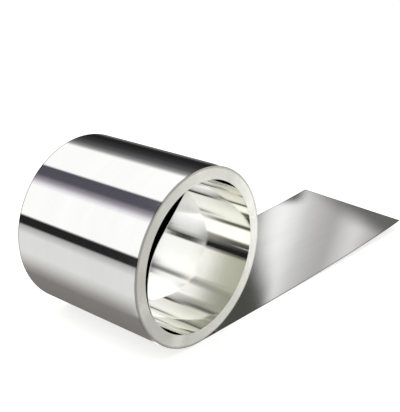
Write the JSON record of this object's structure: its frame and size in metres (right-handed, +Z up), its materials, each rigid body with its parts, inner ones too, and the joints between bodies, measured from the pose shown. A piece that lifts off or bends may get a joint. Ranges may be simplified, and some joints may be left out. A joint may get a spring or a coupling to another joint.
{
  "type": "aluminium strip coil",
  "caption": "Bright aluminium strip wound into an open coil that lies on its side, its outer end drawn out flat and curling up slightly.",
  "frame": {"origin": "middle of the coil's bore, on its axis and halfway across the strip's width", "axes": "+Y along the bore, +X the way the unwound end runs out, +Z up; the coil rests on its underside at Z = -0.0886 m"},
  "size_m": [0.5115, 0.159, 0.1772],
  "materials": {
    "aluminium": "bright rolled"
  },
  "bodies": {
    "root": {"aluminium_strip": "aluminium"}
  },
  "joints": []
}
